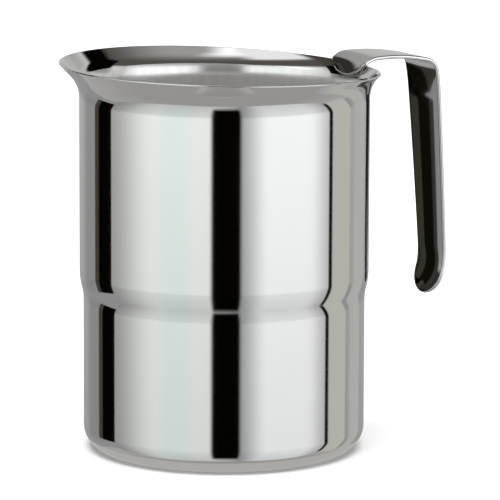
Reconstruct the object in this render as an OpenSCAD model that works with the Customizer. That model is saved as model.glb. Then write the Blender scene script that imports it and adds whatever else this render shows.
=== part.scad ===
// Pouring jug for melting wax: a drawn sheet-metal cup with a flared, slanting
// pouring lip, and one strap handle spot-welded inside that lip.
// The base stands on z = 0, its centre is the origin, the handle points to +X
// and the tall pouring side of the lip points to -X.

/* [Cup] */
// Outside radius of the upper wall
wall_r = 50; // [40:0.5:60]
// How much narrower the lower wall is than the upper one
waist = 1.32; // [0.5:0.1:3]
// Sheet thickness of the cup
sheet = 0.6; // [0.5:0.1:1]
// Height where the step out to the upper wall begins
step_z = 52.3; // [30:1:70]
// Height that the step takes up
step_h = 10.3; // [8:0.1:14]
// Part of the step's height that curves outwards
step_split = 0.4; // [0.3:0.05:0.7]
// Width of the rounded corner between base and wall
corner_w = 6.8; // [5:0.1:10]
// Height of the rounded corner between base and wall
corner_h = 8.2; // [5:0.1:12]

/* [Lip] */
// Height where the flare of the lip begins
flare_z = 122.2; // [110:0.2:130]
// Outside radius of the flare's curve
flare_r = 11.6; // [9:0.1:14]
// Angle from upright at which the curve ends and the lip runs on straight
flare_a = 43; // [35:1:50]
// Height of the rim on the pouring side
rim_front_z = 134.7; // [134:0.1:136]
// Height of the rim half way round
rim_side_z = 133.3; // [132.5:0.1:134]
// Height of the rim at the handle
rim_back_z = 130.4; // [129.5:0.1:131]

/* [Handle] */
// Sheet thickness of the strap
strap_t = 1.4; // [1:0.1:2]
// Gap between strap and lip that the spot welds bridge
weld_gap = 0.15; // [0.1:0.05:0.3]
// Radius of the bend that lifts the strap off the lip
neck_r = 6.3; // [5:0.1:9]
// Length of the top run of the strap
top_len = 22.2; // [15:0.1:30]
// Radius of the bend from the top run to the grip
bend_r = 4.7; // [4:0.1:8]
// Length of the grip
grip_len = 65; // [45:1:70]
// Radius of the curl at the free end
curl_r = 25; // [15:1:40]
// Half width of the strap at the rim
foot_hw = 10.7; // [8:0.1:12]
// Half width in the middle of the top run
top_hw = 9.6; // [8:0.1:12]
// Half width at the top of the grip
grip_hw = 10; // [8:0.1:12]
// Half width at the end of the grip
end_hw = 8.4; // [6:0.1:10]
// Radius of the rounded end of the foot
foot_end_r = 13.4; // [11:0.1:16]
// Length of the rounded free end
tip_len = 8; // [6:0.5:10]
// How far the middle of the grip bulges outwards
arch = 0.9; // [0:0.1:1.5]

/* [Welds] */
// Radius of one spot weld
weld_r = 2.2; // [1:0.1:2.5]
// Angle round the cup between two spot welds
weld_pitch = 7; // [5.5:0.5:8]

/* [Hidden] */
STEEL = [0.78, 0.79, 0.80];
WELD = [0.62, 0.60, 0.57];
EPS = 0.01;

// A quarter or part circle takes one point every few degrees.
function sweep(from, to, n) = [for (i = [0:n]) from + (to - from) * i / n];

// ---- Outline of the cup, outside face, from the base centre to the lip ----
low_r = wall_r - waist;
// Both arcs of the step share one slope where they meet.
step_a = 2 * atan(waist / step_h);
step_sum = step_h / sin(step_a);
step_r_low = step_sum * step_split;
step_r_high = step_sum - step_r_low;
step_top = step_z + step_h;
// Centre of the flare's curve, in the plane of the outline
flare_c = [wall_r + flare_r, flare_z];
// The lip is drawn longer than needed, and the rim is then cut to its slant.
lip_spare = 10;

// Every outline is drawn for a face that lies "in" inside the outer face.
function corner_pts(in) = [for (a = sweep(0, 90, 12))
    [low_r - corner_w + (corner_w - in) * sin(a), corner_h - (corner_h - in) * cos(a)]];
function step_low_pts(in) = [for (a = sweep(0, step_a, 5))
    [low_r + step_r_low - (step_r_low + in) * cos(a), step_z + (step_r_low + in) * sin(a)]];
function step_high_pts(in) = [for (a = sweep(step_a, 0, 5))
    [wall_r - step_r_high + (step_r_high - in) * cos(a), step_top - (step_r_high - in) * sin(a)]];
function flare_pts(in) = [for (a = sweep(0, flare_a, 10))
    flare_c + (flare_r + in) * [-cos(a), sin(a)]];
function lip_end(in) = flare_c + (flare_r + in) * [-cos(flare_a), sin(flare_a)]
    + lip_spare * [sin(flare_a), cos(flare_a)];
function face_pts(in) = concat([[0, in]], corner_pts(in), step_low_pts(in),
    step_high_pts(in), flare_pts(in), [lip_end(in)]);
function reversed(list) = [for (i = [len(list) - 1:-1:0]) list[i]];

// ---- Slanting cut of the rim: one large cylinder that lies across the cup ----
// Distance along X of the rim's three known heights, from the lip's cone
function lip_x(z) = flare_c[0] - flare_r * cos(flare_a)
    + (z - flare_z - flare_r * sin(flare_a)) * tan(flare_a);
front_x = -lip_x(rim_front_z);
back_x = lip_x(rim_back_z);
// A parabola through the three heights gives the cut's slope and curvature.
front_slope = (rim_front_z - rim_side_z) / front_x;
back_slope = (rim_back_z - rim_side_z) / back_x;
cut_curve = (back_slope - front_slope) / (back_x - front_x);
cut_slope = front_slope - cut_curve * front_x;
cut_top_x = -cut_slope / (2 * cut_curve);
cut_top_z = rim_side_z - cut_slope * cut_slope / (4 * cut_curve);
cut_r = -1 / (2 * cut_curve);

// ---- Centre line of the strap, in the plane y = 0 ----
// The foot lies on the inside of the flare, so it shares the flare's centre.
seat_r = flare_r + sheet + weld_gap;
foot_r = seat_r + strap_t / 2;
foot_from = 18;
foot_to = 40;
// Each stretch is [radius, heading where it ends, number of rings]; headings
// are measured from +X, and every stretch turns the same way.
top_rise = 2.1;
top_fall = -12.7;
grip_from = -85.3;
grip_to = -86.8;
curl_to = -124.5;
PER_RAD = 180 / PI;
stretches = [
    [foot_r, 90 - foot_to, 8],
    [neck_r, top_rise, 8],
    [top_len * PER_RAD / (top_rise - top_fall), top_fall, 8],
    [bend_r, grip_from, 10],
    [grip_len * PER_RAD / (grip_from - grip_to), grip_to, 8],
    [curl_r, curl_to, 16]
];
start = [flare_c + foot_r * [-cos(foot_from), sin(foot_from)], 90 - foot_from];

function turn(at, r, heading) = [at[0] + r * [sin(at[1]) - sin(heading),
    cos(heading) - cos(at[1])], heading];
// Place and heading where stretch k begins
function stretch_start(k) = k == 0 ? start :
    turn(stretch_start(k - 1), stretches[k - 1][0], stretches[k - 1][1]);
function stretch_len(k) = stretches[k][0] * (stretch_start(k)[1] - stretches[k][1]) / PER_RAD;
// Distance along the strap where stretch k begins
function run(k) = k == 0 ? 0 : run(k - 1) + stretch_len(k - 1);
strap_len = run(len(stretches));

// Rings stand closer together where the foot and the tip are rounded.
function ease(k, t) = k == 0 ? t * t : k == len(stretches) - 1 ? 1 - (1 - t) * (1 - t) : t;
// One ring is [place, heading, distance along the strap].
rings = [for (k = [0:len(stretches) - 1])
    let (from = stretch_start(k), n = stretches[k][2])
    for (i = [(k == 0 ? 0 : 1):n])
        let (t = ease(k, i / n), h = from[1] + (stretches[k][1] - from[1]) * t,
            p = turn(from, stretches[k][0], h))
        [p[0], h, run(k) + stretch_len(k) * t]];

// ---- Width and cross-section of the strap ----
width_at = [0, run(2), run(2) + top_len / 2, run(4), run(5), strap_len];
width_is = [foot_hw, foot_hw, top_hw, grip_hw, end_hw, end_hw];
function full_hw(s) = lookup(s, [for (i = [0:len(width_at) - 1]) [width_at[i], width_is[i]]]);
// The foot's end is part of a circle, the free end is half an ellipse.
least_hw = 0.6;
foot_round = foot_end_r - sqrt(foot_end_r * foot_end_r - foot_hw * foot_hw);
function foot_end(s) = s >= foot_round ? foot_hw : sqrt(max(0, s * (2 * foot_end_r - s)));
function tip_end(s) = sqrt(1 - pow(max(0, 1 - (strap_len - s) / tip_len), 2));
function half_w(s) = max(least_hw, min(foot_end(s), full_hw(s)) * tip_end(s));
function smooth(t) = let (c = min(1, max(0, t))) c * c * (3 - 2 * c);
// 1 where the strap follows the round of the lip, 0 where it is straight across
function hug(s) = 1 - smooth((s - run(1)) / (run(2) - run(1) + top_len / 3));
// 0 on the top run, 1 down the grip
function bulge(s) = smooth((s - run(3)) / (run(4) - run(3) + grip_len / 6));

ACROSS = 10;
// A point of the strap: ring, place across from -1 to 1, offset along the normal
function strap_pt(ring, across, off) = let (
    hw = half_w(ring[2]), y = across * hw, n = [-sin(ring[1]), cos(ring[1])],
    rise = off + arch * bulge(ring[2]) * (1 - across * across) * (hw / grip_hw),
    p = ring[0] + rise * n, w = hug(ring[2]), turned = y / ring[0][0] * PER_RAD)
    [p[0] * (w * cos(turned) + 1 - w), w * p[0] * sin(turned) + (1 - w) * y, p[1]];
function ring_pts(ring) = concat(
    [for (i = [0:ACROSS]) strap_pt(ring, 2 * i / ACROSS - 1, strap_t / 2)],
    [for (i = [ACROSS:-1:0]) strap_pt(ring, 2 * i / ACROSS - 1, -strap_t / 2)]);
LOOP = 2 * (ACROSS + 1);

module cup_blank() {
    rotate_extrude($fn = 180)
        polygon(concat(face_pts(0), reversed(face_pts(sheet))));
}

module cup() {
    color(STEEL)
        intersection() {
            cup_blank();
            translate([cut_top_x, 0, cut_top_z - cut_r])
                rotate([90, 0, 0])
                    cylinder(r = cut_r, h = 4 * wall_r, center = true, $fn = 1440);
        }
}

module handle() {
    last = (len(rings) - 1) * LOOP;
    color(STEEL)
        polyhedron(
            points = [for (ring = rings) each ring_pts(ring)],
            faces = concat(
                [[for (i = [LOOP - 1:-1:0]) i]],
                [[for (i = [0:LOOP - 1]) last + i]],
                [for (r = [0:len(rings) - 2]) for (i = [0:LOOP - 1])
                    let (a = r * LOOP + i, b = r * LOOP + (i + 1) % LOOP)
                    each [[a, b, a + LOOP], [b, b + LOOP, a + LOOP]]]),
            convexity = 6);
}

// Each weld is a thin disc of fused metal that fills the gap under the foot.
weld_at = 33;
module weld() {
    intersection() {
        rotate([0, 0, -weld_pitch / 2])
            rotate_extrude(angle = weld_pitch, $fn = 360)
                translate(flare_c)
                    intersection() {
                        difference() {
                            circle(r = seat_r - EPS, $fn = 180);
                            circle(r = flare_r + sheet, $fn = 180);
                        }
                        rotate(180 - 2 * weld_at)
                            square(2 * flare_r);
                    }
        translate([flare_c[0], 0, flare_c[1]])
            rotate([0, weld_at - 90, 0])
                cylinder(r = weld_r, h = 2 * flare_r, $fn = 64);
    }
}

module handle_welds() {
    color(WELD)
        for (i = [-1:1])
            rotate([0, 0, i * weld_pitch])
                weld();
}

cup();
handle();
handle_welds();
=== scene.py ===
# %% [markdown]
# # A polished pouring jug for melting wax
#
# The jug is two sheets of stainless steel. One is pressed into a deep cup with a flared,
# slanting lip. The other is a strap that is bent into a handle and spot-welded inside the
# lip. Their outsides are mirror-polished, so nearly all that we see of them is the studio
# around them, and the inside of the cup is satin. This file first sets up the camera. Then
# it makes the finishes, the cup and the handle, and last the studio whose lights and dark
# cards draw the shapes.

# %% Load the frame
import math

import bpy
import numpy as np
from mathutils import Matrix, Vector


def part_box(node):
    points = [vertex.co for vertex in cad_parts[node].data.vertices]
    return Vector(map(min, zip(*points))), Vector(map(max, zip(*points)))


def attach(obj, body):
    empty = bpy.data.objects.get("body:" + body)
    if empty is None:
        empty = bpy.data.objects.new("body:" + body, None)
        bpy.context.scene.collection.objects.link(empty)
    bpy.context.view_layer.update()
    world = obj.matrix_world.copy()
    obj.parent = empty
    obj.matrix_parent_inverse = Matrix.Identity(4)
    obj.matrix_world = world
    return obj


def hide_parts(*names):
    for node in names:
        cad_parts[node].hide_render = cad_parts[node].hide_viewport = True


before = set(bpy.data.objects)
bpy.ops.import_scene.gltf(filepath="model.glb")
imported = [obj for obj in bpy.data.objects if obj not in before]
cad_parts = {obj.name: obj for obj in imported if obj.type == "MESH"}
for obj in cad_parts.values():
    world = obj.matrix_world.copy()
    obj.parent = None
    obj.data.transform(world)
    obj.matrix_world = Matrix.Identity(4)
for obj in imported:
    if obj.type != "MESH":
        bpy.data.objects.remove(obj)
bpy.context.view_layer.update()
MM = 0.001
cup_low, cup_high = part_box("cup")
strap_low, strap_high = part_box("handle")
print("cup", [round(v / MM, 1) for v in (*cup_low, *cup_high)], "mm")
print("handle", [round(v / MM, 1) for v in (*strap_low, *strap_high)], "mm")

# %% [markdown]
# ## The camera
#
# Polished ware is best seen from far away through a long lens, because a near camera
# would show up in the mirror and would swell the front of the lip. The camera
# here stands fifteen wall diameters away. A small turn to the right of the cup's axis
# leaves room for the handle, so the lens needs no shift.

# %% Camera
view_azimuth = math.radians(-31.3)
view_distance = 1.5
eye_height = 0.3449
look_down = math.radians(10.43)
look_right = math.radians(0.3405)
camera_roll = 0.004
long_lens = 317.8

toward_jug = Vector((-math.sin(view_azimuth), math.cos(view_azimuth), 0))
to_the_right = Vector((math.cos(view_azimuth), math.sin(view_azimuth), 0))
ahead = toward_jug * math.cos(look_right) + to_the_right * math.sin(look_right)
side = to_the_right * math.cos(look_right) - toward_jug * math.sin(look_right)
forward = ahead * math.cos(look_down) - Vector((0, 0, math.sin(look_down)))
upward = side.cross(forward)
cam_x = side * math.cos(camera_roll) + upward * math.sin(camera_roll)
cam_y = upward * math.cos(camera_roll) - side * math.sin(camera_roll)

camera_data = bpy.data.cameras.new("camera")
camera_data.lens = long_lens
camera_data.sensor_width = 36
camera = bpy.data.objects.new("camera", camera_data)
turn = Matrix((cam_x, cam_y, -forward)).transposed().to_4x4()
eye = -toward_jug * view_distance + Vector((0, 0, eye_height))
camera.matrix_world = Matrix.Translation(eye) @ turn
bpy.context.scene.collection.objects.link(camera)
bpy.context.scene.camera = camera
print("camera stands at", [round(v, 3) for v in eye])

# %% [markdown]
# ## The outline of the cup
#
# A pressed cup is round, so its shape is an outline that is turned about the axis. The
# outline here goes up the outside, over the rim and down the inside, which gives the sheet
# its real thickness everywhere. Each arc has more points near its ends than in its middle.
# On a mirror that matters: a long face next to a curve would bend the reflections in it.
#
# The lip can't be drawn as plain points, because its length changes round the cup. Its
# points store how far along the lip they are, how deep in the sheet, and how far over the
# edge, and the turning works out the rest.

# %% Outline of the cup
wall_r = 50 * MM
waist = 1.32 * MM
sheet = 0.6 * MM
step_z = 52.3 * MM
step_h = 10.3 * MM
step_split = 0.4
corner_w = 6.8 * MM
corner_h = 8.2 * MM
flare_z = 122.2 * MM
flare_r = 11.6 * MM
flare_a = math.radians(43)
# The rim ends a hair lower than the cup's box, so that its rounded edge stays in the box.
rim_spare = 0.06 * MM
rim_front_z = cup_high.z - rim_spare
rim_side_z = 133.3 * MM
rim_back_z = 130.4 * MM

low_r = wall_r - waist
step_a = 2 * math.atan(waist / step_h)
step_r_low = step_h / math.sin(step_a) * step_split
step_r_high = step_h / math.sin(step_a) - step_r_low
step_top = step_z + step_h
flare_cx = wall_r + flare_r


def eased(first, last, count):
    """Values from first to last, closer together at both ends."""
    t = (1 - np.cos(np.linspace(0, math.pi, count + 1))) / 2
    return first + (last - first) * t


def arc(centre, radii, angles):
    """Points (radius, height) on an arc; angles run from outwards to upwards."""
    return [(centre[0] + radii[0] * math.cos(a), centre[1] + radii[1] * math.sin(a)) for a in angles]


def wall_face(inset):
    """One face of the sheet from the base's centre up to the flare."""
    corner = (low_r - corner_w, corner_h)
    corner_radii = (corner_w - inset, corner_h - inset)
    lower_step = (low_r + step_r_low, step_z)
    upper_step = (wall_r - step_r_high, step_top)
    face = [(r, inset) for r in np.linspace(0, low_r - corner_w, 9)[:-1]]
    face += arc(corner, corner_radii, eased(-math.pi / 2, 0, 30))
    face += [(low_r - inset, z) for z in eased(corner_h, step_z, 12)[1:-1]]
    lower = step_r_low + inset
    face += arc(lower_step, (lower, lower), eased(math.pi, math.pi - step_a, 14))
    upper = step_r_high - inset
    face += arc(upper_step, (upper, upper), eased(-step_a, 0, 18)[1:])
    face += [(wall_r - inset, z) for z in eased(step_top, flare_z, 14)[1:-1]]
    return face


LIP_STEPS = 44
EDGE_STEPS = 8
outside = wall_face(0)
inside = wall_face(sheet)[::-1]
# Rows of the lip: (share of the lip's length, depth in the sheet, reach over the edge)
lip_share = np.linspace(0, 1, LIP_STEPS + 1)
edge_turn = np.linspace(0, math.pi, EDGE_STEPS + 1)[1:-1]
lip_rows = [(u, 0, 0) for u in lip_share]
lip_rows += [(1, (1 - math.cos(a)) * sheet / 2, math.sin(a) * sheet / 2) for a in edge_turn]
lip_rows += [(u, sheet, 0) for u in lip_share[::-1]]
print(len(outside) + len(lip_rows) + len(inside), "rows from the base over the rim and back")

# %% [markdown]
# ## Turning the cup
#
# A lathe would do for the wall, but the rim slants: it is highest where the wax is poured
# and lowest at the handle. Geometry Nodes suit this, since every point of the lip follows
# one rule. The tree takes the outline as its geometry, repeats it round the axis on a grid,
# and for each direction asks how high the rim is. Three heights, at the front, the side
# and the back, give that height as a sum of two cosines. The lip's points are then spread
# over the arc of the flare and the straight cone beyond it.

# %% Helpers for node trees
def add_node(tree, kind, label="", **values):
    """A new node. Its settings may follow by name."""
    node = tree.nodes.new(kind)
    node.label = label
    for name, value in values.items():
        setattr(node, name, value)
    return node


def feed(tree, socket, value):
    """Links value to a socket if it is another socket, or else sets it."""
    if isinstance(value, bpy.types.NodeSocket):
        tree.links.new(value, socket)
    else:
        socket.default_value = value


def maths(tree, operation, *values):
    """A Math node's result."""
    node = add_node(tree, "ShaderNodeMath", operation=operation)
    for socket, value in zip(node.inputs, values):
        feed(tree, socket, value)
    return node.outputs[0]


# %% The tree that turns the cup
def cup_tree():
    tree = bpy.data.node_groups.new("turned_cup", "GeometryNodeTree")
    face = tree.interface
    face.new_socket("Outline", in_out="INPUT", socket_type="NodeSocketGeometry")
    face.new_socket("Steps Around", in_out="INPUT", socket_type="NodeSocketInt")
    for name in ("Rim Front", "Rim Side", "Rim Back", "Flare Centre", "Flare Height",
                 "Flare Radius", "Flare Angle", "Sheet"):
        face.new_socket(name, in_out="INPUT", socket_type="NodeSocketFloat")
    face.new_socket("Polished", in_out="INPUT", socket_type="NodeSocketMaterial")
    face.new_socket("Satin", in_out="INPUT", socket_type="NodeSocketMaterial")
    face.new_socket("Cup", in_out="OUTPUT", socket_type="NodeSocketGeometry")
    given = add_node(tree, "NodeGroupInput").outputs
    op = lambda *args: maths(tree, *args)

    size = add_node(tree, "GeometryNodeAttributeDomainSize", component="MESH")
    tree.links.new(given["Outline"], size.inputs["Geometry"])
    rows = size.outputs["Point Count"]
    grid = add_node(tree, "GeometryNodeMeshGrid", "one column for each direction")
    tree.links.new(op("ADD", given["Steps Around"], 1), grid.inputs["Vertices X"])
    tree.links.new(rows, grid.inputs["Vertices Y"])
    index = add_node(tree, "GeometryNodeInputIndex").outputs[0]
    column = op("FLOOR", op("DIVIDE", op("ADD", index, 0.5), rows))
    row = op("SUBTRACT", index, op("MULTIPLY", column, rows))
    angle = op("MULTIPLY", op("DIVIDE", column, given["Steps Around"]), 2 * math.pi)

    def outline_value(name, kind="FLOAT"):
        """What the outline stores at this row."""
        if name == "position":
            field = add_node(tree, "GeometryNodeInputPosition").outputs[0]
        else:
            read = add_node(tree, "GeometryNodeInputNamedAttribute", data_type=kind)
            read.inputs["Name"].default_value = name
            field = read.outputs[0]
        pick = add_node(tree, "GeometryNodeSampleIndex", data_type=kind, domain="POINT")
        tree.links.new(given["Outline"], pick.inputs["Geometry"])
        tree.links.new(field, pick.inputs["Value"])
        tree.links.new(row, pick.inputs["Index"])
        return pick.outputs[0]

    point = add_node(tree, "ShaderNodeSeparateXYZ")
    tree.links.new(outline_value("position", "FLOAT_VECTOR"), point.inputs[0])
    share, depth, over = (outline_value(n) for n in ("share", "depth", "over"))
    on_lip, satin = outline_value("on_lip"), outline_value("satin")

    # Height of the rim in this direction: a sum of cosines through three heights
    front, edge, back = given["Rim Front"], given["Rim Side"], given["Rim Back"]
    ends = op("MULTIPLY", op("ADD", front, back), 0.5)
    swing = op("MULTIPLY", op("SUBTRACT", back, front), 0.5)
    middle = op("MULTIPLY", op("ADD", ends, edge), 0.5)
    dip = op("MULTIPLY", op("SUBTRACT", ends, edge), 0.5)
    tilt = op("MULTIPLY", swing, op("COSINE", angle))
    bow = op("MULTIPLY", dip, op("COSINE", op("MULTIPLY", angle, 2)))
    rim = op("ADD", middle, op("ADD", tilt, bow))

    # Length of the lip up to that height, less three quarters of the sheet for its edge
    bend, radius = given["Flare Angle"], given["Flare Radius"]
    cone_from = op("ADD", given["Flare Height"], op("MULTIPLY", radius, op("SINE", bend)))
    edge_rise = op("MULTIPLY", given["Sheet"], 0.75)
    cone = op("DIVIDE", op("SUBTRACT", op("SUBTRACT", rim, edge_rise), cone_from), op("COSINE", bend))
    curve = op("MULTIPLY", radius, bend)
    along = op("MULTIPLY", share, op("ADD", curve, cone))
    turned = op("MINIMUM", op("DIVIDE", along, radius), bend)
    straight = op("ADD", op("MAXIMUM", op("SUBTRACT", along, curve), 0), over)
    reach = op("ADD", radius, depth)
    arc_r = op("SUBTRACT", given["Flare Centre"], op("MULTIPLY", reach, op("COSINE", turned)))
    lip_r = op("ADD", arc_r, op("MULTIPLY", straight, op("SINE", bend)))
    arc_z = op("ADD", given["Flare Height"], op("MULTIPLY", reach, op("SINE", turned)))
    lip_z = op("ADD", arc_z, op("MULTIPLY", straight, op("COSINE", bend)))
    r = op("ADD", point.outputs["X"], op("MULTIPLY", on_lip, op("SUBTRACT", lip_r, point.outputs["X"])))
    z = op("ADD", point.outputs["Z"], op("MULTIPLY", on_lip, op("SUBTRACT", lip_z, point.outputs["Z"])))

    place = add_node(tree, "ShaderNodeCombineXYZ")
    tree.links.new(op("MULTIPLY", r, op("COSINE", angle)), place.inputs["X"])
    tree.links.new(op("MULTIPLY", r, op("SINE", angle)), place.inputs["Y"])
    tree.links.new(z, place.inputs["Z"])
    keep = add_node(tree, "GeometryNodeStoreNamedAttribute", data_type="FLOAT", domain="POINT")
    keep.inputs["Name"].default_value = "satin"
    tree.links.new(grid.outputs["Mesh"], keep.inputs["Geometry"])
    tree.links.new(satin, keep.inputs["Value"])
    move = add_node(tree, "GeometryNodeSetPosition")
    tree.links.new(keep.outputs["Geometry"], move.inputs["Geometry"])
    tree.links.new(place.outputs[0], move.inputs["Position"])
    close = add_node(tree, "GeometryNodeMergeByDistance", "closes the seam and both poles")
    close.inputs["Distance"].default_value = 0.0002 * MM
    tree.links.new(move.outputs[0], close.inputs["Geometry"])
    shade = add_node(tree, "GeometryNodeSetShadeSmooth")
    tree.links.new(close.outputs[0], shade.inputs["Geometry"])
    real = add_node(tree, "GeometryNodeRealizeInstances")
    tree.links.new(shade.outputs[0], real.inputs["Geometry"])
    paint = add_node(tree, "GeometryNodeSetMaterial")
    tree.links.new(real.outputs[0], paint.inputs["Geometry"])
    tree.links.new(given["Polished"], paint.inputs["Material"])
    is_satin = add_node(tree, "GeometryNodeInputNamedAttribute", data_type="FLOAT")
    is_satin.inputs["Name"].default_value = "satin"
    matt = add_node(tree, "GeometryNodeSetMaterial")
    tree.links.new(paint.outputs[0], matt.inputs["Geometry"])
    tree.links.new(op("GREATER_THAN", is_satin.outputs[0], 0.5), matt.inputs["Selection"])
    tree.links.new(given["Satin"], matt.inputs["Material"])
    result = add_node(tree, "NodeGroupOutput")
    tree.links.new(matt.outputs[0], result.inputs["Cup"])
    return tree


# %% [markdown]
# ## From a node tree to a plain mesh
#
# A modifier keeps a shape live, which is handy while you try sizes out. A finished piece
# has to be a plain mesh, because the scene's parts ride on the object and the export reads
# what is really there. So the object is evaluated once, its result is taken as a new mesh,
# and the object that carried the modifier is thrown away.

# %% Helpers for meshes
def new_object(name, mesh):
    made = bpy.data.objects.new(name, mesh)
    bpy.context.scene.collection.objects.link(made)
    return made


def set_inputs(modifier, tree, values):
    """Sets a modifier's inputs, which go by their sockets' identifiers."""
    sockets = {s.name: s.identifier for s in tree.interface.items_tree if s.in_out == "INPUT"}
    for name, value in values.items():
        modifier[sockets[name]] = value


def frozen(made, name):
    """The evaluated object as a plain mesh object without modifiers."""
    bpy.context.view_layer.update()
    evaluated = made.evaluated_get(bpy.context.evaluated_depsgraph_get())
    mesh = bpy.data.meshes.new_from_object(evaluated)
    mesh.name = name
    bpy.data.objects.remove(made)
    return new_object(name, mesh)


def store(mesh, name, values):
    layer = mesh.attributes.new(name, "FLOAT", "POINT")
    layer.data.foreach_set("value", np.asarray(values, np.float32))


# %% [markdown]
# ## Stainless steel, polished and satin
#
# Polished steel is a metal shader with very little roughness. A perfect mirror looks like
# computer glass, though. Real polishing leaves hairline scratches that run round the cup,
# a faint haze that comes and goes, and a slight swell in the sheet from the press. The
# scratches and the haze go into the roughness, and the scratches and the swell go into the
# bump. The inside is left satin, with coarser rings and with upright streaks from the brush
# in place of the haze. It isn't quite all metal in the shader, which stands for the light
# that its fine scratches scatter. Every pattern is measured on the Object coordinates, so
# its scale is real and it stays on the metal when the camera moves.

# %% Steel finishes
HAZE_SCALE = 45
SWELL_SCALE = 22
RING_SHARE = 0.6
NOISE_RANGE = (0.35, 0.65)


def steel(name, colour, tint, rough, rough_swing, ring_scale, ring_bump, swell, anisotropy=0.0,
          metallic=1.0, streak_scale=0):
    """A metal with rings that run round the z axis, a swell, and a haze or upright streaks."""
    material = bpy.data.materials.new(name)
    material.use_nodes = True
    tree = material.node_tree
    shader = tree.nodes["Principled BSDF"]
    shader.inputs["Metallic"].default_value = metallic
    shader.inputs["Anisotropic"].default_value = anisotropy
    shader.inputs["Anisotropic Rotation"].default_value = 0.25
    on_metal = tree.nodes.new("ShaderNodeTexCoord").outputs["Object"]

    def noise(scale, stretch, detail, label):
        stretched = tree.nodes.new("ShaderNodeMapping")
        stretched.inputs["Scale"].default_value = stretch
        tree.links.new(on_metal, stretched.inputs["Vector"])
        node = tree.nodes.new("ShaderNodeTexNoise")
        node.label = label
        node.inputs["Scale"].default_value = scale
        node.inputs["Detail"].default_value = detail
        tree.links.new(stretched.outputs[0], node.inputs["Vector"])
        return node.outputs["Fac"]

    rings = noise(ring_scale, (0.02, 0.02, 1), 4, "rings left by the polishing wheel")
    if streak_scale:
        haze = noise(streak_scale, (1, 1, 0.02), 3, "upright streaks of the brush")
    else:
        haze = noise(HAZE_SCALE, (1, 1, 0.6), 3, "haze")
    sway = noise(SWELL_SCALE, (1, 1, 0.5), 1, "swell of the pressed sheet")

    mix = tree.nodes.new("ShaderNodeMix")
    mix.data_type = "RGBA"
    mix.inputs["A"].default_value = (*colour, 1)
    mix.inputs["B"].default_value = (*tint, 1)
    tree.links.new(haze, mix.inputs["Factor"])
    tree.links.new(mix.outputs["Result"], shader.inputs["Base Color"])

    from_rings = maths(tree, "MULTIPLY", rings, RING_SHARE)
    from_haze = maths(tree, "MULTIPLY", haze, 1 - RING_SHARE)
    roughness = tree.nodes.new("ShaderNodeMapRange")
    roughness.inputs["From Min"].default_value = NOISE_RANGE[0]
    roughness.inputs["From Max"].default_value = NOISE_RANGE[1]
    roughness.inputs["To Min"].default_value = rough - rough_swing
    roughness.inputs["To Max"].default_value = rough + rough_swing
    tree.links.new(maths(tree, "ADD", from_rings, from_haze), roughness.inputs["Value"])
    tree.links.new(roughness.outputs[0], shader.inputs["Roughness"])

    scratches = maths(tree, "MULTIPLY", rings, ring_bump)
    height = maths(tree, "ADD", scratches, maths(tree, "MULTIPLY", sway, swell))
    bump = tree.nodes.new("ShaderNodeBump")
    bump.inputs["Strength"].default_value = 1
    bump.inputs["Distance"].default_value = 1
    tree.links.new(height, bump.inputs["Height"])
    tree.links.new(bump.outputs[0], shader.inputs["Normal"])
    if anisotropy:
        round_axis = tree.nodes.new("ShaderNodeTangent")
        round_axis.direction_type = "RADIAL"
        round_axis.axis = "Z"
        tree.links.new(round_axis.outputs[0], shader.inputs["Tangent"])
    return material


POLISHED = (0.80, 0.795, 0.785)
POLISHED_TINT = (0.775, 0.77, 0.755)
polished_steel = steel("polished_steel", POLISHED, POLISHED_TINT, rough=0.055, rough_swing=0.015,
                       ring_scale=2600, ring_bump=2e-8, swell=2.5e-6)
satin_steel = steel("satin_steel", (0.82, 0.81, 0.80), (0.66, 0.65, 0.645), rough=0.17,
                    rough_swing=0.04, ring_scale=1500, ring_bump=4e-7, swell=2e-6, anisotropy=0.55,
                    metallic=0.66, streak_scale=420)
strap_steel = steel("strap_steel", (0.76, 0.75, 0.75), (0.72, 0.71, 0.715), rough=0.06,
                    rough_swing=0.02, ring_scale=2600, ring_bump=2e-8, swell=2e-6)
weld_metal = steel("weld_metal", (0.56, 0.53, 0.49), (0.40, 0.38, 0.37), rough=0.42,
                   rough_swing=0.12, ring_scale=3500, ring_bump=2e-6, swell=6e-6)
print("finishes:", [m.name for m in bpy.data.materials if m.name.endswith(("steel", "metal"))])

# %% [markdown]
# ## Making the cup
#
# The outline goes into the tree together with the rim's three heights and the two
# finishes. The satin of the inside reaches a good way up the lip before the polish of the
# rim begins, so each point of the outline stores which of the two finishes it has.

# %% Make the cup
# Share of the inner lip, from below, that is satin
SATIN_SHARE = 0.41
outline = bpy.data.meshes.new("cup_outline")
flare_foot = (wall_r, flare_z)
points = [(r, 0, z) for r, z in outside]
points += [(flare_foot[0], 0, flare_foot[1])] * len(lip_rows)
points += [(r, 0, z) for r, z in inside]
outline.from_pydata(points, [(i, i + 1) for i in range(len(points) - 1)], [])
plain_out, plain_in = len(outside), len(inside)
store(outline, "on_lip", [0] * plain_out + [1] * len(lip_rows) + [0] * plain_in)
for k, name in enumerate(("share", "depth", "over")):
    store(outline, name, [0] * plain_out + [row[k] for row in lip_rows] + [0] * plain_in)
inner_lip_from = plain_out + len(lip_rows) - LIP_STEPS - 1
is_satin = [i > inner_lip_from + (1 - SATIN_SHARE) * LIP_STEPS for i in range(len(points))]
store(outline, "satin", is_satin)

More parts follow.
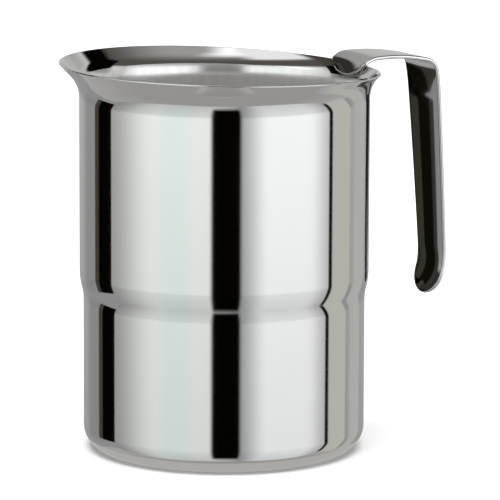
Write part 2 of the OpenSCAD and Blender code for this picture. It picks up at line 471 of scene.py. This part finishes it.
turning = cup_tree()
blank = new_object("cup_outline", outline)
lathe = blank.modifiers.new("turned_cup", "NODES")
lathe.node_group = turning
set_inputs(lathe, turning, {
    "Steps Around": 256,
    "Rim Front": rim_front_z,
    "Rim Side": rim_side_z,
    "Rim Back": rim_back_z,
    "Flare Centre": flare_cx,
    "Flare Height": flare_z,
    "Flare Radius": flare_r,
    "Flare Angle": flare_a,
    "Sheet": sheet,
    "Polished": polished_steel,
    "Satin": satin_steel,
})
cup = frozen(blank, "polished_cup")
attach(cup, "root")
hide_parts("cup")
top_of_cup = max(v.co.z for v in cup.data.vertices)
print("cup:", len(cup.data.polygons), "faces, rim", round(top_of_cup / MM, 2), "mm high")

# %% [markdown]
# ## The strap of the handle
#
# The handle is stamped from thicker sheet. Its centre line is seven arcs that all turn the
# same way: the foot that lies in the flare, the neck, the top run, the tight bend, a short
# easing into the grip, the long grip and the curl. The foot is pressed to the round of the
# lip, and the grip bulges outwards so that it is stiff and kind to the hand. Modelling it as
# a flat outline that is then laid on the bent surface keeps the two jobs apart, as the
# press tool does.

# %% Centre line of the strap
strap_t = 1.4 * MM
weld_gap = 0.15 * MM
foot_r = flare_r + sheet + weld_gap + strap_t / 2
foot_from = 18
foot_to = 40
top_rise = 2.1
top_fall = -12.7
bend_to = -79.5
grip_from = -85.3
grip_to = -86.8
curl_to = -124.5
neck_r = 6.3 * MM
top_len = 21.75 * MM
bend_r = 4.7 * MM
settle_len = 6 * MM
grip_len = 59.5 * MM
curl_r = 25 * MM
# Each stretch is (radius, heading where it ends); headings are in degrees from outwards.
stretches = [
    (foot_r, 90 - foot_to),
    (neck_r, top_rise),
    (top_len / math.radians(top_rise - top_fall), top_fall),
    (bend_r, bend_to),
    (settle_len / math.radians(bend_to - grip_from), grip_from),
    (grip_len / math.radians(grip_from - grip_to), grip_to),
    (curl_r, curl_to),
]

run_to, headings = [0.0], [math.radians(90 - foot_from)]
for radius, last in stretches:
    last = math.radians(last)
    run_to.append(run_to[-1] + radius * (headings[-1] - last))
    headings.append(last)
strap_len = run_to[-1]
print("strap is", round(strap_len / MM, 1), "mm long")

# Sheet doesn't change its curve at once, so the headings are averaged over a short reach.
EASE = 1.2 * MM
LINE_SAMPLES = 6001
run_up = np.linspace(-2 * EASE, strap_len + 2 * EASE, LINE_SAMPLES)
pace = run_up[1] - run_up[0]
taps = np.linspace(-EASE, EASE, 25)
eased_heading = np.mean([np.interp(run_up + t, run_to, headings) for t in taps], axis=0)
foot_turn = math.radians(foot_from)
start = (flare_cx - foot_r * math.cos(foot_turn), flare_z + foot_r * math.sin(foot_turn))


def summed(slope, first):
    """Adds slope up along the strap, so that it is first where the strap starts."""
    total = np.concatenate(([0], np.cumsum((slope[1:] + slope[:-1]) / 2 * pace)))
    return total - np.interp(0, run_up, total) + first


line_x = summed(np.cos(eased_heading), start[0])
line_z = summed(np.sin(eased_heading), start[1])


def on_line(s):
    """Place (outwards, up) and heading at distances s along the strap."""
    x, z, heading = (np.interp(s, run_up, v) for v in (line_x, line_z, eased_heading))
    return np.stack((x, z), -1), heading


# %% Surface of the strap
foot_hw = 10.7 * MM
top_hw = 9.6 * MM
grip_hw = 10 * MM
end_hw = 8.4 * MM
foot_end_r = 13.4 * MM
tip_len = 8 * MM
arch = 0.9 * MM
WIDTH_BLEND = 3 * MM
width_at = [0, run_to[2], run_to[2] + top_len / 2, run_to[4], run_to[6], strap_len]
width_is = [foot_hw, foot_hw, top_hw, grip_hw, end_hw, end_hw]


def smooth(t):
    t = np.clip(t, 0, 1)
    return t * t * (3 - 2 * t)


def half_width(s):
    """Half the strap's width, blended so that no kink shows in its edges."""
    taps = np.linspace(-WIDTH_BLEND, WIDTH_BLEND, 9)
    return np.mean([np.interp(s + t, width_at, width_is) for t in taps], axis=0)


def strap_surface(s, y):
    """Points on the middle of the sheet, s along it and y across it."""
    at, heading = on_line(s)
    hug = 1 - smooth((s - run_to[1]) / (run_to[2] - run_to[1] + top_len / 3))
    bulge = smooth((s - run_to[3]) / (run_to[4] - run_to[3] + grip_len / 6))
    half = half_width(s)
    rise = arch * bulge * (1 - (y / half) ** 2) * (half / grip_hw)
    r = at[..., 0] - np.sin(heading) * rise
    z = at[..., 1] + np.cos(heading) * rise
    turned = y / at[..., 0]
    x = r * (hug * np.cos(turned) + 1 - hug)
    across = hug * r * np.sin(turned) + (1 - hug) * y
    return np.stack((x, across, z), -1)


def strap_points(s, y, off):
    """The middle surface, moved by off along its own normal."""
    step = 0.05 * MM
    along = strap_surface(s + step, y) - strap_surface(s - step, y)
    across = strap_surface(s, y + step) - strap_surface(s, y - step)
    normal = np.cross(along, across)
    normal /= np.linalg.norm(normal, axis=-1, keepdims=True)
    return strap_surface(s, y) + normal * off


print("strap's widths:", [round(2 * w / MM, 1) for w in width_is], "mm")

# %% [markdown]
# The flat outline has a rounded foot and a rounded tip. A plain grid would pinch there, so
# the rows of this grid bow into the round ends instead. The same grid, drawn a little
# smaller, gives each row of the rounded edge, and the two faces close it.

# %% Grid of the flat outline
ROWS = 170
COLUMNS = 28
EDGE_ROUND = 0.62 * MM
EDGE_ROWS = 5


def flat_grid(inset):
    """Distances s and y of a grid that fills the outline, inset from its edge."""
    v = np.sin(np.linspace(-1, 1, COLUMNS + 1) * math.pi / 2)
    t = np.linspace(0, 1, ROWS + 1)[:, None]
    round_r = foot_end_r - inset
    foot_half = foot_hw - inset
    foot_bow = round_r - np.sqrt(round_r**2 - (v * foot_half) ** 2)
    tip_bow = (tip_len - inset) * (1 - np.sqrt(1 - v**2))
    first = inset + foot_bow
    last = strap_len - inset - tip_bow
    s = first + (last - first) * t
    return s, v * (half_width(s) - inset)


def border(grid):
    """Indices of a grid's border, once round."""
    rows, columns = grid
    loop = [(0, j) for j in range(columns)]
    loop += [(i, columns - 1) for i in range(1, rows)]
    loop += [(rows - 1, j) for j in range(columns - 2, -1, -1)]
    loop += [(i, 0) for i in range(rows - 2, 0, -1)]
    return np.array(loop)


def strap_mesh():
    size = (ROWS + 1, COLUMNS + 1)
    count = size[0] * size[1]
    face_s, face_y = flat_grid(EDGE_ROUND)
    upper = strap_points(face_s, face_y, strap_t / 2).reshape(-1, 3)
    lower = strap_points(face_s, face_y, -strap_t / 2).reshape(-1, 3)
    loop = border(size)
    turns = np.linspace(0, math.pi / 2, EDGE_ROWS + 1)[1:]
    layers = [(EDGE_ROUND * (1 - math.sin(a)), strap_t / 2 - EDGE_ROUND * (1 - math.cos(a)))
              for a in turns]
    layers += [(inset, -off) for inset, off in layers[::-1]]
    points, rings = [upper, lower], [loop[:, 0] * size[1] + loop[:, 1]]
    for k, (inset, off) in enumerate(layers):
        s, y = flat_grid(inset)
        points.append(strap_points(s[loop[:, 0], loop[:, 1]], y[loop[:, 0], loop[:, 1]], off))
        rings.append(2 * count + k * len(loop) + np.arange(len(loop)))
    rings.append(rings[0] + count)
    i, j = np.meshgrid(np.arange(ROWS), np.arange(COLUMNS), indexing="ij")
    corner = (i * size[1] + j).ravel()
    quad = np.stack((corner, corner + size[1], corner + size[1] + 1, corner + 1), -1)
    faces = [quad, quad[:, ::-1] + count]
    for a, b in zip(rings, rings[1:]):
        faces.append(np.stack((a, np.roll(a, -1), np.roll(b, -1), b), -1))
    mesh = bpy.data.meshes.new("strap_handle")
    mesh.from_pydata(np.concatenate(points).tolist(), [], np.concatenate(faces).tolist())
    mesh.shade_smooth()
    return mesh


def volume_of(mesh):
    """Signed volume: positive when the faces point outwards."""
    mesh.calc_loop_triangles()
    at = np.array([v.co for v in mesh.vertices])
    tri = np.array([t.vertices for t in mesh.loop_triangles])
    return float(np.einsum("ij,ij->i", at[tri[:, 0]], np.cross(at[tri[:, 1]], at[tri[:, 2]])).sum() / 6)


# %% Make the handle
strap = strap_mesh()
if volume_of(strap) < 0:
    strap.flip_normals()
strap.materials.append(strap_steel)
handle = new_object("strap_handle", strap)
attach(handle, "root")
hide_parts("handle")
print("handle:", len(strap.polygons), "faces,", round(volume_of(strap) * 1e9), "mm3")
print("cup:", round(volume_of(cup.data) * 1e9), "mm3")

# %% [markdown]
# ## The spot welds
#
# The foot of the strap is joined to the lip by spot welds, where a current melts the two
# sheets into each other. They sit in the gap between the sheets and hardly show, so the
# solids that came with the frame are good enough as they are. They only get a duller,
# browner metal, as steel that was once hot has.

# %% Finish the welds
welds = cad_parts["handle_welds"]
welds.data.materials.clear()
welds.data.materials.append(weld_metal)
print("welds:", len(welds.data.polygons), "faces")

# %% [markdown]
# ## The studio
#
# A mirror has no shading of its own, so the studio is half of the model. A photographer
# surrounds polished steel with white panels, leaves a slit for the lens, and adds black
# cards where an edge has to be drawn. This studio does the same with one sky of soft boxes.
# Each box is a patch between two azimuths and two elevations, with soft edges, and later
# boxes are laid over earlier ones. Azimuths start at the camera and grow to its right.
#
# The jug stands on a small table, so its wall mirrors the panels down past the table's
# edge. The table's top is the grey that shows in the lip's underside. Reflections don't
# see the pale floor, because it would hide all of this.

# %% Directions of the sky
world = bpy.data.worlds.new("studio")
world.use_nodes = True
sky = world.node_tree
DEGREES = 180 / math.pi


def across_sky():
    """Azimuth and elevation, in degrees, of the direction that a ray takes."""
    look = sky.nodes.new("ShaderNodeTexCoord").outputs["Generated"]
    parts = []
    for direction in (to_the_right, -toward_jug, Vector((0, 0, 1))):
        dot = sky.nodes.new("ShaderNodeVectorMath")
        dot.operation = "DOT_PRODUCT"
        sky.links.new(look, dot.inputs[0])
        dot.inputs[1].default_value = direction
        parts.append(dot.outputs["Value"])
    azimuth = maths(sky, "MULTIPLY", maths(sky, "ARCTAN2", parts[0], parts[1]), DEGREES)
    elevation = maths(sky, "MULTIPLY", maths(sky, "ARCSINE", parts[2]), DEGREES)
    return azimuth, elevation


azimuth, elevation = across_sky()
print("azimuth starts at the camera, which stands at", round(math.degrees(view_azimuth), 1), "degrees")


# %% A soft box in the sky
def ramp(value, edge, soft, start=0, end=1):
    """Goes smoothly from start to end as value passes the edge."""
    node = sky.nodes.new("ShaderNodeMapRange")
    node.interpolation_type = "SMOOTHSTEP"
    feed(sky, node.inputs["Value"], value)
    node.inputs["From Min"].default_value = edge - soft
    node.inputs["From Max"].default_value = edge + soft
    node.inputs["To Min"].default_value = start
    node.inputs["To Max"].default_value = end
    return node.outputs[0]


def window(value, limits, soft):
    """1 where value is between the limits and 0 outside them, with soft edges."""
    opens = ramp(value, limits[0], soft)
    closes = ramp(value, limits[1], soft, 1, 0)
    return maths(sky, "MULTIPLY", opens, closes)


def soft_box(below, name, azimuths, heights, soft, glow, height=elevation):
    """Lays a box over the sky below; soft holds the softness of its sides and ends."""
    sides = window(azimuth, azimuths, soft[0])
    ends = window(height, heights, soft[1])
    lay = sky.nodes.new("ShaderNodeMix")
    lay.data_type = "RGBA"
    lay.label = name
    sky.links.new(maths(sky, "MULTIPLY", sides, ends), lay.inputs["Factor"])
    feed(sky, lay.inputs["A"], below)
    lay.inputs["B"].default_value = (*glow, 1)
    return lay.outputs["Result"]


# %% [markdown]
# The table's edge is lowest in front of the jug and climbs towards its sides, because the
# jug stands near the front and the table reaches farther behind it. So heights over the
# table are counted from a curved border. The border stops climbing behind the jug, where
# it would otherwise reach above the horizon.

# %% Table and panels
BORDER_CLIMB = 14
BORDER_STOP = 1.25
from_front = maths(sky, "COSINE", maths(sky, "DIVIDE", azimuth, DEGREES))
round_table = maths(sky, "MINIMUM", maths(sky, "SUBTRACT", 1, from_front), BORDER_STOP)
climb = maths(sky, "MULTIPLY", maths(sky, "POWER", round_table, 2), BORDER_CLIMB)
over_table = maths(sky, "SUBTRACT", elevation, climb)
TABLE_EDGE = -51
PANEL_TOP = 29
SKY = (-200, 200)
UP = 200
BLACK = (0.002, 0.0015, 0.001)
panels = [
    ("table", SKY, (-UP, TABLE_EDGE), (1, 1), (0.60, 0.595, 0.58)),
    ("left panel", (-101, -9.6), (TABLE_EDGE, UP), (1.5, 1), (0.41, 0.42, 0.41)),
    ("left glow", (-79, 8), (TABLE_EDGE, UP), (24, 1), (0.96, 0.99, 0.96)),
    ("green tinge", (-52, -30), (TABLE_EDGE, UP), (8, 1), (0.88, 0.98, 0.955)),
    ("right panel", (13.4, 90), (TABLE_EDGE, UP), (1.5, 1), (0.43, 0.44, 0.46)),
    ("right glow", (24, 86), (TABLE_EDGE, UP), (13, 1), (1.08, 1.11, 1.12)),
    ("dim end of the right glow", (88, 98), (TABLE_EDGE, UP), (22, 1), (0.66, 0.66, 0.65)),
    ("dim wall, left", (-146, -112), (-38, UP), (8, 12), (0.29, 0.285, 0.275)),
    ("slit for the lens", (-10.2, 13.4), (TABLE_EDGE + 10, UP), (2.0, 8), BLACK),
]
air = (0.42, 0.43, 0.43, 1)
for name, azimuths, heights, soft, glow in panels:
    air = soft_box(air, name, azimuths, heights, soft, glow, over_table)

print(len(panels), "patches of table and panels")

# %% Light that falls down the panels
# The panels are lit from above, so they get darker towards the table.
LOWEST = -60
HIGHEST = 60
fall = sky.nodes.new("ShaderNodeValToRGB")
fall.label = "light falling down the panels"
stops = [(-55, 0.62), (-14, 0.82), (-8.5, 1.07), (4, 1.6), (20, 1.5)]
for k, (height, level) in enumerate(stops):
    reach = (height - LOWEST) / (HIGHEST - LOWEST)
    stop = fall.color_ramp.elements[k] if k < 2 else fall.color_ramp.elements.new(reach)
    stop.position = reach
    stop.color = (level, level, level, 1)
over_lowest = maths(sky, "SUBTRACT", elevation, LOWEST)
sky.links.new(maths(sky, "DIVIDE", over_lowest, HIGHEST - LOWEST), fall.inputs["Fac"])
lit = sky.nodes.new("ShaderNodeMix")
lit.data_type = "RGBA"
lit.blend_type = "MULTIPLY"
lit.clamp_result = False
lit.inputs["Factor"].default_value = 1
sky.links.new(air, lit.inputs["A"])
sky.links.new(fall.outputs["Color"], lit.inputs["B"])
air = lit.outputs["Result"]
print("light falls from", max(v for _, v in stops), "to", min(v for _, v in stops))

# %% Walls, ceiling and lights above
boxes = [
    ("warm wall", (96, 118), (-34, 20), (1, 4), (0.56, 0.55, 0.51)),
    ("pale wall", (125, 146), (-50, 20), (3, 6), (0.50, 0.50, 0.48)),
    ("ceiling", SKY, (PANEL_TOP, UP), (1, 3), (0.10, 0.092, 0.085)),
    ("rear wall, left", (-200, -132), (0, 14), (6, 4), (0.55, 0.55, 0.54)),
    ("rear wall, right", (148, 200), (0, 14), (6, 4), (0.55, 0.55, 0.54)),
    ("dim wall above it, left", (-200, -132), (14, 46), (6, 9), (0.40, 0.40, 0.39)),
    ("dim wall above it, right", (148, 200), (14, 46), (6, 9), (0.40, 0.40, 0.39)),
    ("skylight, rear", SKY, (55, UP), (1, 15), (0.40, 0.39, 0.385)),
    ("skylight", (-112, 20), (61, UP), (26, 9), (1.25, 1.26, 1.30)),
    ("low end of the skylight", (-100, -25), (49, UP), (14, 4), (1.0, 1.0, 1.02)),
    ("lens and tripod", (-16, 19), (-3, PANEL_TOP), (5, 3), (0.03, 0.028, 0.026)),
    ("black edge, right", (91, 95), (-32, 30), (0.8, 3), BLACK),
    ("light patch", (89, 115), (8, 24), (1, 1), (0.62, 0.62, 0.60)),
    ("black card, high", (109, 142), (15, 40), (2, 2), BLACK),
    ("dim corner, left", (-130, -96), (22, 60), (6, 6), (0.07, 0.06, 0.05)),
    ("dark corner, far left", (-136, -112), (2, 42), (5, 3), (0.035, 0.031, 0.028)),
]
for name, azimuths, heights, soft, glow in boxes:
    air = soft_box(air, name, azimuths, heights, soft, glow)

# %% What the camera sees directly
# The camera itself sees plain white air. The soft boxes give light and show in the steel.
seen = sky.nodes.new("ShaderNodeLightPath")
choose = sky.nodes.new("ShaderNodeMix")
choose.data_type = "RGBA"
sky.links.new(seen.outputs["Is Camera Ray"], choose.inputs["Factor"])
sky.links.new(air, choose.inputs["A"])
choose.inputs["B"].default_value = (1, 1, 1, 1)
sky.links.new(choose.outputs["Result"], sky.nodes["Background"].inputs["Color"])
bpy.context.scene.world = world
print("the sky holds", len(panels) + len(boxes), "soft boxes")

# %% [markdown]
# ## Cards close to the jug
#
# Some things stand so near that the wall and the grip see them in different directions,
# as the sky can't do. They are thin meshes that only reflections see. A tall black card
# with a brown edge stands at arm's length on the left. Under the base lies a bright patch
# of table. Three small dark cards stand close behind the jug, so that the inside of the
# grip is dark while the wall's front stays bright. From the side and from behind, those
# three do show in the wall as dark shapes, which is the price of standing so near.

# %% Cards
def card(name, corners, glow):
    """A flat card that only shows in reflections."""
    paint = bpy.data.materials.new(name)
    paint.use_nodes = True
    tree = paint.node_tree
    tree.nodes.clear()
    shine = tree.nodes.new("ShaderNodeEmission")
    shine.inputs["Color"].default_value = (*glow, 1)
    end = tree.nodes.new("ShaderNodeOutputMaterial")
    tree.links.new(shine.outputs[0], end.inputs["Surface"])
    paint.cycles.emission_sampling = "NONE"
    mesh = bpy.data.meshes.new(name)
    mesh.from_pydata(corners, [], [tuple(range(len(corners)))])
    mesh.materials.append(paint)
    made = new_object(name, mesh)
    made.visible_camera = False
    made.visible_diffuse = False
    made.visible_shadow = False
    print(name, "has", len(corners), "corners")


def standing(azimuths, heights, distances):
    """Corners of a standing card; each side has its azimuth and its distance from the axis."""
    turns = [math.radians(a) for a in azimuths]
    feet = [to_the_right * math.sin(a) - toward_jug * math.cos(a) for a in turns]
    lower, upper = (Vector((0, 0, z)) for z in heights)
    near, far = distances
    return [feet[0] * near + lower, feet[1] * far + lower,
            feet[1] * far + upper, feet[0] * near + upper]


# %% Place the cards
CARD_DISTANCES = (0.9, 0.9)
CARD_HEIGHTS = (-0.25, 0.70)
BROWN = (0.065, 0.055, 0.045)
card("black_card", standing((-115.5, -98.5), CARD_HEIGHTS, CARD_DISTANCES), BLACK)
card("brown_edge", standing((-121.5, -115.5), CARD_HEIGHTS, CARD_DISTANCES), BROWN)

GRIP_HEIGHTS = (-0.02, 0.090)
OLIVE = (0.045, 0.044, 0.032)
NEAR_BLACK = (0.006, 0.005, 0.003)
DARK_BROWN = (0.045, 0.04, 0.035)
card("olive_card", standing((-150, -159), GRIP_HEIGHTS, (0.075, 0.082)), OLIVE)
card("grip_card", standing((-154.5, -166), GRIP_HEIGHTS, (0.091, 0.104)), NEAR_BLACK)
card("grip_card_edge", standing((-166, -171), GRIP_HEIGHTS, (0.104, 0.110)), DARK_BROWN)

PAD_CORNERS = 64
PAD_Z = -0.01 * MM
PALE_TABLE = (0.50, 0.495, 0.48)
pad_turns = np.linspace(0, 2 * math.pi, PAD_CORNERS + 1)[:-1]
pad = [(wall_r * math.cos(a), wall_r * math.sin(a), PAD_Z) for a in pad_turns]
card("bright_table", pad, PALE_TABLE)

# %% [markdown]
# ## Floor and lamp
#
# The floor is pale and matt, and one big soft lamp overhead makes it bright and lays a
# faint shadow round the foot of the jug. Neither shows in the steel.

# %% Floor and lamp
FLOOR_HALF = 12
FLOOR_Z = -0.02 * MM
floor_mesh = bpy.data.meshes.new("floor")
corners = [(-FLOOR_HALF, -FLOOR_HALF, 0), (FLOOR_HALF, -FLOOR_HALF, 0),
           (FLOOR_HALF, FLOOR_HALF, 0), (-FLOOR_HALF, FLOOR_HALF, 0)]
floor_mesh.from_pydata(corners, [], [(0, 1, 2, 3)])
floor_paint = bpy.data.materials.new("pale_floor")
floor_paint.use_nodes = True
floor_shader = floor_paint.node_tree.nodes["Principled BSDF"]
floor_shader.inputs["Base Color"].default_value = (0.93, 0.93, 0.93, 1)
floor_shader.inputs["Roughness"].default_value = 0.9
floor_shader.inputs["Specular IOR Level"].default_value = 0
floor_mesh.materials.append(floor_paint)
floor = new_object("floor", floor_mesh)
floor.location.z = FLOOR_Z
floor.visible_glossy = False

LAMP_SIZE = 2.4
LAMP_HEIGHT = 2.2
LAMP_WATTS = 85
lamp_data = bpy.data.lights.new("overhead_softbox", "AREA")
lamp_data.shape = "RECTANGLE"
lamp_data.size = LAMP_SIZE
lamp_data.size_y = LAMP_SIZE
lamp_data.energy = LAMP_WATTS
lamp = bpy.data.objects.new("overhead_softbox", lamp_data)
lamp.location = (0, 0, LAMP_HEIGHT)
lamp.visible_glossy = False
lamp.visible_camera = False
bpy.context.scene.collection.objects.link(lamp)
bpy.context.scene.view_settings.view_transform = "Standard"
print("floor", 2 * FLOOR_HALF, "m wide, lamp", LAMP_WATTS, "W at", LAMP_HEIGHT, "m")
